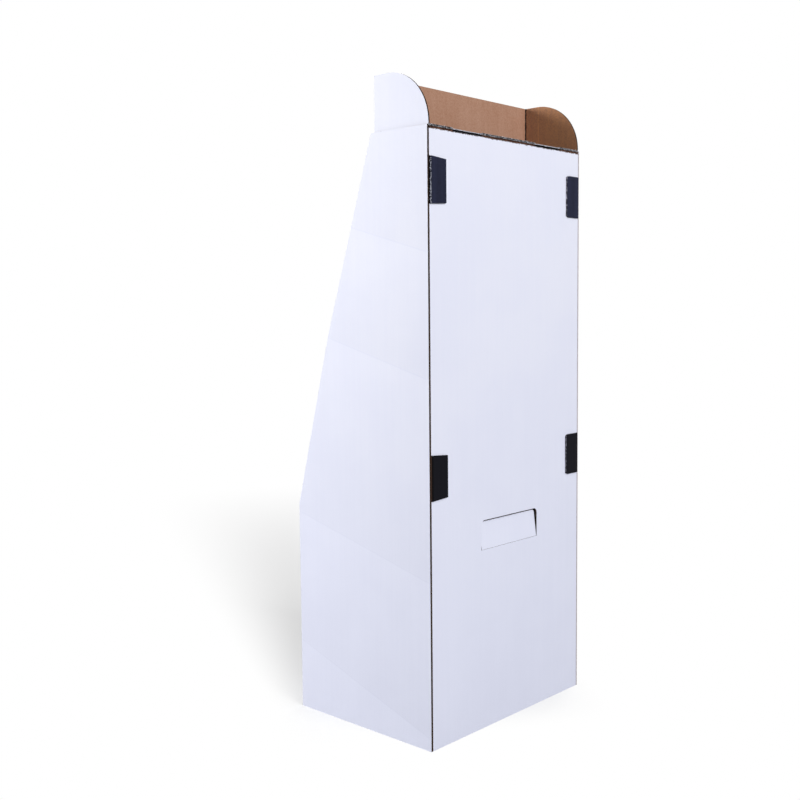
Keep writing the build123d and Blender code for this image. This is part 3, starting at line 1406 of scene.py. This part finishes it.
@dataclass
class BackPanel:
    """White back panel with its top crease, slots, tab notches and pushed-in hand hole."""

    flap_reach: float = 60.0
    corner_radius: float = 3.0
    hole_radius: float = 9.0
    push: float = 7.0
    side_kerf: float = 1.3
    top_kerf: float = 3.0
    flap_radius: float = 4.5
    crease_gap: float = 0.4
    worn_line: Point = (0.25, 3.2)

    def build(self, finishes: Finishes) -> None:
        """Make the panel."""
        seat("back_panel", "board", [self.panel(), self.flap()], finishes.back_board)

    def panel(self) -> Blank:
        """The creased panel itself.

        Returns:
            The blank.
        """
        rear, top = SIZES.rear_y, SIZES.wrap_top
        corners = [(rear, 0.0), (rear, top), (SIZES.y_at(self.flap_reach), top)]
        path = FoldPath(corners, STIFF_PRINT, Plane.SECTION)
        half = SIZES.wrap_face - SIZES.fit
        fold = path.bends[0].start
        flap_half = SIZES.inner_face - SIZES.header_fit - SIZES.fit
        notch = SIZES.inner_face - STIFF_PRINT.fold_radius
        right: Cell = [(0.0, half)]
        for bottom in sorted(SIZES.tab_bottoms):
            low, high = bottom - SIZES.fit, bottom + SIZES.tab_root_height + SIZES.fit
            right += [(low, half), (low, notch), (high, notch), (high, half)]
        radius = self.corner_radius
        right += arc_points((fold - radius, half - radius), radius, 90, 0, steps=5)
        right += [(fold, flap_half), (path.length, flap_half)]
        slot_end = path.at(1, SIZES.top_tab_reach + STIFF_PRINT.fold_outer_radius + SIZES.fit)
        holes = []
        for side in Side:
            low = side.value * SIZES.slot_offset - SIZES.slot_width / 2
            high = low + SIZES.slot_width
            holes.append([(fold, low), (slot_end, low), (slot_end, high), (fold, high)])
        holes.append(self.hole(SIZES.hand_hole_bottom, 0.0, 0.0, self.hole_radius))
        outline = side_to_side(right)
        return Blank(path, outline, holes, Flutes.ALONG_PATH, fold_slot=True, worn_line=self.worn_line)

    @staticmethod
    def hole(bottom: float, side_gap: float, top_gap: float, radius: float) -> Cell:
        """Hand-hole outline on the blank.

        Args:
            bottom: place of its bottom edge along the blank.
            side_gap: how much smaller it is at each side.
            top_gap: how much smaller it is at the top.
            radius: radius of its top corners.

        Returns:
            Its corners in order.
        """
        half = SIZES.hand_hole_width / 2 - side_gap
        top = bottom + SIZES.hand_hole_height - top_gap
        loop: Cell = [(bottom, -half), (bottom, half)]
        for middle, first in ((half - radius, 0), (radius - half, 90)):
            arc = arc_points((middle, top - radius), radius, first, first + 90, steps=8)
            loop += [(a, b) for b, a in arc]
        return loop

    def flap(self) -> Blank:
        """Flap of the hand hole, pushed in about its crease.

        Returns:
            The blank.
        """
        lean = math.radians(self.push)
        foot = (SIZES.rear_y, SIZES.hand_hole_bottom)
        length = SIZES.hand_hole_height
        head = (foot[0] - length * math.sin(lean), foot[1] + length * math.cos(lean))
        path = FoldPath([foot, head], STIFF_PRINT, Plane.SECTION)
        outline = self.hole(0.0, self.side_kerf, self.top_kerf, self.flap_radius)
        outline[:2] = [(self.crease_gap, across) for _, across in outline[:2]]
        return Blank(path, outline, flutes=Flutes.ALONG_PATH)


@dataclass
class InnerWrap:
    """Black U-shaped lining with shelf slots, header notches and four rear tabs."""

    hand_hole_margin: float = 4.0
    tab_taper: float = 2.6
    tab_crease_line: Point = (0.75, 1.6)
    lower_tab_worn_line: Point = (0.2, 1.0)

    def build(self, finishes: Finishes) -> None:
        """Make the wrap.

        Args:
            finishes: materials of the boards.
        """
        tabs = [self.tab(bottom, side) for bottom in SIZES.tab_bottoms for side in Side]
        blanks = [self.lining(), *tabs]
        seat("inner_wrap", "board", blanks, finishes.black_board)

    def lining(self) -> Blank:
        """The U itself.

        Returns:
            The blank.
        """
        face, front = SIZES.wrap_face, SIZES.y_at(SIZES.depth)
        back = SIZES.y_at(SIZES.board)
        path = FoldPath([(face, front), (face, back), (-face, back), (-face, front)], BOARD, Plane.PLAN)
        top = SIZES.wrap_top
        back_top = top - BOARD.fold_outer_radius
        notch_low = SIZES.tongue_reach - SIZES.fit
        notch_high = SIZES.tongue_reach + SIZES.tongue_width + SIZES.fit
        notch_floor = SIZES.lid_top - SIZES.tongue_length
        fold, fold_end = path.bends[0].start, path.bends[0].start + path.bends[0].length
        near: Cell = [
            (0.0, 0.0),
            (0.0, SIZES.base_height),
            (SIZES.depth - SIZES.middle_reach, SIZES.middle_height),
            (SIZES.depth - SIZES.edge_reach(top), top),
            (SIZES.depth - notch_high, top),
            (SIZES.depth - notch_high, notch_floor),
            (SIZES.depth - notch_low, notch_floor),
            (SIZES.depth - notch_low, top),
            (fold, top),
            (fold_end, top),
            (fold_end, back_top),
        ]
        notch = SIZES.lid_top - SIZES.top_tab_length - SIZES.fit
        slot_near = path.at(1, face - SIZES.slot_offset - SIZES.slot_width / 2)
        slot_far = slot_near + SIZES.slot_width
        near += [(slot_near, back_top), (slot_near, notch), (slot_far, notch), (slot_far, back_top)]
        whole = path.length
        opening = SIZES.hand_hole_width / 2 + self.hand_hole_margin
        low, high = path.at(1, face - opening), path.at(1, face + opening)
        bottom = SIZES.hand_hole_bottom - self.hand_hole_margin
        lid = SIZES.hand_hole_bottom + SIZES.hand_hole_height + self.hand_hole_margin
        cut_end = path.at(1, SIZES.board + SIZES.tab_length + SIZES.board)
        loops = []
        for foot in SIZES.tab_bottoms:
            head = foot + SIZES.tab_root_height
            loops.append([(fold, foot), (cut_end, foot), (cut_end, head), (fold, head)])
        loops += [loop for tray in TRAYS for loop in self.slots(tray)]
        holes = [[(low, bottom), (high, bottom), (high, lid), (low, lid)]]
        holes += [hole for loop in loops for hole in (loop, twin(loop, whole))]
        return Blank(path, end_to_end(near, whole), holes)

    @staticmethod
    def slots(tray: Tray) -> list[Cell]:
        """Slots for a shelf's two tongues in the right wall.

        Args:
            tray: the shelf.

        Returns:
            The slots' outlines on the blank.
        """
        loops = []
        half = tray.tongue / 2 + SIZES.fit
        thick = SIZES.board / 2 + SIZES.fit
        cos, sin = math.cos(tray.slope), math.sin(tray.slope)
        for reach in tray.tongue_reaches():
            place = SIZES.depth - reach + sin * SIZES.board / 2
            height = tray.underside(reach) + cos * SIZES.board / 2
            corners = ((-half, -thick), (half, -thick), (half, thick), (-half, thick))
            loops.append([(place + a * cos + b * sin, height - a * sin + b * cos) for a, b in corners])
        return loops

    def tab(self, bottom: float, side: Side) -> Blank:
        """One rear tab: straight past the back panel, then folded flat over it.

        Args:
            bottom: height of its lower edge.
            side: the side wall that it grows from.

        Returns:
            The tab's blank.
        """
        face, over = SIZES.wrap_face, SIZES.rear_y + SIZES.board
        start = SIZES.y_at(SIZES.board) - BOARD.fold_outer_radius
        corners = [(face, start), (face, over), (face - SIZES.tab_length, over)]
        if side is Side.LEFT:
            corners = [(-x, y) for x, y in reversed(corners)]
        path = FoldPath(corners, BOARD, Plane.PLAN)
        top = bottom + SIZES.tab_root_height
        bend = path.bends[0]
        outline = [
            (0.0, bottom),
            (bend.start + bend.length, bottom),
            (path.length, bottom + self.tab_taper),
            (path.length, top - self.tab_taper),
            (bend.start + bend.length, top),
            (0.0, top),
        ]
        lower = bottom == min(SIZES.tab_bottoms)
        share, reach = self.lower_tab_worn_line if lower else self.tab_crease_line
        if side is Side.LEFT:
            outline = twin(outline, path.length)
            share = 1 - share
        return Blank(path, outline, fold_slot=True, worn_line=(share, reach))


@dataclass
class TopBoard:
    """Black lid on the wrap, with a front flange and two tabs tucked into the back panel's slots."""

    flange: float = 40.0
    front_gap: float = 0.5
    relief: float = 1.0
    neck: float = 5.0
    # Painted highlight: where the near-white line lies on each lid tab's bend.
    tab_crease_line: Point = (0.75, 2.0)
    # Painted shade: how far past each lid tab's bend the dark crease black runs, down into the back panel's
    # slot.
    slot_shade_margin: float = 6.0

    def build(self, finishes: Finishes) -> None:
        """Make the lid."""
        blanks = [self.lid(), *(self.tab(side) for side in (Side.LEFT, Side.RIGHT))]
        seat("top_board", "lid", blanks, finishes.lid_board)

    @property
    def neck_reach(self) -> float:
        """Reach where the tabs' relief cuts end."""
        return SIZES.top_tab_reach + BOARD.fold_outer_radius + self.neck

    def lid(self) -> Blank:
        """The lid itself.

        Returns:
            The blank.
        """
        top, front = SIZES.lid_top, SIZES.y_at(SIZES.top_reach - self.front_gap)
        corners = [(SIZES.rear_y, top), (front, top), (front, top - SIZES.board - self.flange)]
        path = FoldPath(corners, BOARD, Plane.SECTION)
        half = SIZES.wrap_face - SIZES.fit
        notch = SIZES.inner_face - SIZES.header_fit - SIZES.fit
        low, high = SIZES.tongue_reach - SIZES.fit, SIZES.tongue_reach + SIZES.tongue_width + SIZES.fit
        bend = path.bends[0].start
        relief = SIZES.slot_width / 2 + self.relief
        right = [(0.0, half), (low, half), (low, notch), (high, notch), (high, half)]
        right += [(bend, half), (bend, SIZES.loose_inner), (path.length, SIZES.loose_inner)]
        outer, inner = SIZES.slot_offset + relief, SIZES.slot_offset - relief
        neck = self.neck_reach
        rear = [(0.0, -outer), (neck, -outer), (neck, -inner), (0.0, -inner)]
        return Blank(path, side_to_side(right) + side_to_side(rear), flutes=Flutes.ALONG_PATH)

    def tab(self, side: Side) -> Blank:
        """One rear tab, folded down inside the back panel.

        Args:
            side: the side of the lid's middle that it is on.

        Returns:
            The tab's blank.
        """
        y, top = SIZES.y_at(SIZES.top_tab_reach), SIZES.lid_top
        corners = [(y, top - SIZES.top_tab_length), (y, top), (SIZES.y_at(self.neck_reach), top)]
        path = FoldPath(corners, BOARD, Plane.SECTION)
        half = SIZES.slot_width / 2 - SIZES.fit
        middle = side.value * SIZES.slot_offset
        low, high = middle - half, middle + half
        outline = [(0.0, low), (path.length, low), (path.length, high), (0.0, high)]
        return Blank(
            path,
            outline,
            flutes=Flutes.ALONG_PATH,
            fold_slot=True,
            fold_margin=self.slot_shade_margin,
            worn_line=self.tab_crease_line,
        )


@dataclass
class Header:
    """White header folded to a U, with quarter-round wings and a tongue under each."""

    height: float = 91.5
    front_reach: float = 122.0
    wing_radius: float = 90.5
    tongue_radius: float = 6.0
    score_reach: float = 88.0
    score_half_width: float = 1.2
    score_depth: float = 0.15
    # Its wide reach spreads the painted crease shade on the kraft inside, and the light wear on the white
    # outside.
    worn_line: Point = (0.5, 4.2)

    def build(self, finishes: Finishes) -> None:
        """Make the header."""
        seat("header", "card", [self.card()], finishes.white_board)

    def card(self) -> Blank:
        """The folded card.

        Returns:
            The blank.
        """
        face = SIZES.wrap_face - SIZES.header_fit
        rear, front = SIZES.rear_y, SIZES.y_at(self.front_reach)
        path = FoldPath([(-face, rear), (-face, front), (face, front), (face, rear)], BOARD, Plane.PLAN)
        base, top = SIZES.lid_top, SIZES.lid_top + self.height
        floor = base - SIZES.tongue_length
        near, far = SIZES.tongue_reach, SIZES.tongue_reach + SIZES.tongue_width
        radius = self.tongue_radius
        wing = self.wing_radius
        left: Cell = arc_points((wing, top - wing), wing, 180, 90, steps=40)[::-1]
        left += [(0.0, base), (near, base)]
        left += arc_points((near + radius, floor + radius), radius, 180, 270, steps=6)
        left += arc_points((far - radius, floor + radius), radius, 270, 360, steps=6)
        left += [(far, base)]
        ends = ((self.score_reach, base), (self.score_reach, top))
        line = Press(*ends, self.score_half_width, self.score_depth, inside=True)
        return Blank(path, end_to_end(left, path.length), presses=[line], worn_line=self.worn_line)


@dataclass
class Shelves:
    """The four black trays."""

    def build(self, finishes: Finishes) -> None:
        """Make every tray."""
        for tray in TRAYS:
            seat(tray.node, "tray", [self.blank(tray)], finishes.black_level_board)

    @staticmethod
    def blank(tray: Tray) -> Blank:
        """Blank of one tray: lip, floor with end tongues, and rear flange.

        Args:
            tray: the shelf.

        Returns:
            The blank.
        """
        corner = (SIZES.y_at(tray.front_reach), tray.underside(tray.front_reach))
        rear = (SIZES.y_at(tray.rear_reach), tray.underside(tray.rear_reach))
        head = (corner[0] + tray.lip * math.sin(tray.slope), corner[1] + tray.lip * math.cos(tray.slope))
        path = FoldPath([head, corner, rear, (rear[0], rear[1] - tray.flange)], TRAY_BOARD, Plane.SECTION)
        half = SIZES.loose_inner
        reach = SIZES.wrap_face - tray.tongue_gap
        right: Cell = [(0.0, half)]
        for middle in reversed(tray.tongue_reaches()):
            along = path.at(1, (tray.front_reach - middle) / math.cos(tray.slope))
            low, high = along - tray.tongue / 2, along + tray.tongue / 2
            right += [(low, half), (low, reach), (high, reach), (high, half)]
        right += [(path.length, half)]
        return Blank(path, side_to_side(right), flutes=Flutes.ALONG_PATH)


@dataclass
class KickPanel:
    """White front panel of the base, with two side flanges under the bottom shelf."""

    setback: float = 12.0
    flange: float = 40.0

    def build(self, finishes: Finishes) -> None:
        """Make the panel."""
        seat("kick_panel", "board", [self.blank(TRAYS[-1])], finishes.white_board)

    def blank(self, tray: Tray) -> Blank:
        """Blank of the panel, its top cut to the slope of the tray that it carries.

        Args:
            tray: the shelf that rests on it.

        Returns:
            The blank.
        """
        front_reach = SIZES.depth - self.setback
        rear_reach = front_reach - self.flange
        face, front, rear = SIZES.loose_inner, SIZES.y_at(front_reach), SIZES.y_at(rear_reach)
        path = FoldPath([(-face, rear), (-face, front), (face, front), (face, rear)], BOARD, Plane.PLAN)
        top = tray.underside(front_reach - SIZES.board)
        low = tray.underside(rear_reach)
        bend = path.bends[0]
        drop = top - BOARD.fold_outer_radius * math.tan(tray.slope)
        left = [(0.0, 0.0), (0.0, low), (bend.start, drop), (bend.start + bend.length, top)]
        return Blank(path, end_to_end(left, path.length))


@dataclass
class Studio:
    """Camera, lamps, floor and background."""

    lens: float = 47.844
    azimuth: float = 133.1018
    elevation: float = 4.7831
    roll: float = -0.552
    distance: float = 2.02594
    aside: float = -0.036852
    aim_height: float = 0.563631
    fit_rear: float = 0.215
    sensor: float = 36.0
    clip: Point = (0.05, 100.0)
    lamp_aim: float = 0.6
    floor_radius: float = 40.0
    floor_sides: int = 96
    ambient: float = 0.15
    floor_bounce: float = 0.3
    floor_camera: float = 0.87
    shadow_strength: float = 0.9
    shadow_bearing: Point = (-0.55, -0.83)
    shadow_edge: float = 0.275
    shadow_blur: Point = (0.05, 0.11)
    shadow_near: Point = (-0.2, 0.05)
    shadow_far: Point = (1.0, 2.6)
    shadow_behind: Point = (-0.3, -0.12)
    lamps: tuple[tuple[str, Point, float, float, float], ...] = (
        ("side softbox", (2.4, -2.4), 1.6, 1.4, 119.0),
        ("rear softbox", (0.5, 4.0), 2.6, 2.2, 162.0),
        ("left softbox", (-3.3, -1.0), 1.5, 1.2, 55.0),
    )

    def build(self) -> None:
        """Set up everything around the stand."""
        scene = bpy.context.scene
        scene.view_settings.view_transform = "Standard"
        self.camera(scene)
        self.light()
        self.world(scene)
        self.floor()

    def camera(self, scene: bpy.types.Scene) -> None:
        """Place the camera at the photograph's viewpoint.

        Args:
            scene: the scene that takes it.
        """
        turn, rise, roll = (math.radians(value) for value in (self.azimuth, self.elevation, self.roll))
        back = Vector((math.sin(turn) * math.cos(rise), -math.cos(turn) * math.cos(rise), math.sin(rise)))
        right = Vector((math.cos(turn), math.sin(turn), 0.0))
        up = back.cross(right)
        level = Matrix((right, up, back)).transposed()
        tilted = level @ Matrix.Rotation(roll, 3, "Z")
        target = right * self.aside
        target.z = self.aim_height
        target.y += SIZES.rear_y * METRES - self.fit_rear
        data = bpy.data.cameras.new("camera")
        data.lens = self.lens
        data.sensor_width = self.sensor
        data.clip_start, data.clip_end = self.clip
        camera = bpy.data.objects.new("camera", data)
        scene.collection.objects.link(camera)
        camera.matrix_world = Matrix.Translation(target + back * self.distance) @ tilted.to_4x4()
        scene.camera = camera

    def light(self) -> None:
        """Hang the softboxes, each turned to the middle of the stand."""
        for name, spot, height, size, power in self.lamps:
            data = bpy.data.lights.new(name, "AREA")
            data.shape = "SQUARE"
            data.size = size
            data.energy = power
            lamp = bpy.data.objects.new(name, data)
            bpy.context.scene.collection.objects.link(lamp)
            lamp.location = (spot[0], spot[1], height)
            aim = Vector((0.0, 0.0, self.lamp_aim)) - lamp.location
            lamp.rotation_mode = "QUATERNION"
            lamp.rotation_quaternion = aim.to_track_quat("-Z", "Y")

    @staticmethod
    def seen(graph: Graph) -> Socket:
        """Tell the rays that show the background: from the camera, in gloss and through glass.

        Args:
            graph: the graph of a material or world.

        Returns:
            1 for those rays, and 0 for the others.
        """
        path = graph.node("ShaderNodeLightPath")
        first = graph.math("MAXIMUM", path.outputs["Is Camera Ray"], path.outputs["Is Glossy Ray"])
        return graph.math("MAXIMUM", first, path.outputs["Is Transmission Ray"])

    def world(self, scene: bpy.types.Scene) -> None:
        """Make the white background, which lights the stand softly.

        Args:
            scene: the scene that takes it.
        """
        world = bpy.data.worlds.new("studio")
        world.use_nodes = True
        scene.world = world
        graph = Graph(world.node_tree)
        soft, white = (
            graph.node("ShaderNodeBackground", None, Color=grey(1.0), Strength=strength).outputs[0]
            for strength in (self.ambient, 1.0)
        )
        graph.finish("ShaderNodeOutputWorld", graph.blend(self.seen(graph), soft, white))

    def shadow_zone(self, graph: Graph) -> Socket:
        """Mark out where the floor shows the stand's shadow.

        Args:
            graph: the floor's graph.

        Returns:
            The shadow's share, falling to 0 where the floor is white.
        """
        along, across = self.shadow_bearing
        ahead = graph.dot(graph.spot(), (along, across, 0.0))
        aside = graph.dot(graph.spot(), (-across, along, 0.0))
        least, growth = self.shadow_blur
        blur = graph.math("MULTIPLY_ADD", graph.math("MAXIMUM", ahead, 0.0), growth, least)
        beyond = graph.math("DIVIDE", graph.math("SUBTRACT", aside, self.shadow_edge), blur)
        zone: object = self.shadow_strength
        for mask in (
            graph.ramp(beyond, -1.0, 1.0, 1.0, 0.0),
            graph.ramp(aside, *self.shadow_behind),
            graph.ramp(ahead, *self.shadow_near),
            graph.ramp(ahead, *self.shadow_far, 1.0, 0.0),
        ):
            zone = graph.math("MULTIPLY", mask, zone)
        return zone

    def floor(self) -> None:
        """Pale floor that is white away from the stand's shadow."""
        mesh = bmesh.new()
        bmesh.ops.create_circle(mesh, cap_ends=True, radius=self.floor_radius, segments=self.floor_sides)
        data = bpy.data.meshes.new("studio_floor")
        mesh.to_mesh(data)
        mesh.free()
        floor = bpy.data.objects.new("studio_floor", data)
        bpy.context.scene.collection.objects.link(floor)
        material, graph = new_material("pale floor")
        data.materials.append(material)
        bounce, caught = (
            graph.node("ShaderNodeBsdfDiffuse", None, Color=grey(level)).outputs[0]
            for level in (self.floor_bounce, self.floor_camera)
        )
        white = graph.node("ShaderNodeEmission", None, Color=grey(1.0), Strength=1.0).outputs[0]
        shown = graph.blend(self.shadow_zone(graph), white, caught)
        graph.finish("ShaderNodeOutputMaterial", graph.blend(self.seen(graph), bounce, shown))


def main() -> None:
    """Build the stand and its studio."""
    logging.basicConfig(level=logging.INFO, format="%(message)s")
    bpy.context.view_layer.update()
    Studio().build()
    finishes = Finishes()
    for part in (SidePanels(), BackPanel(), InnerWrap(), TopBoard(), Header(), Shelves(), KickPanel()):
        part.build(finishes)


if __name__ == "__main__":
    main()
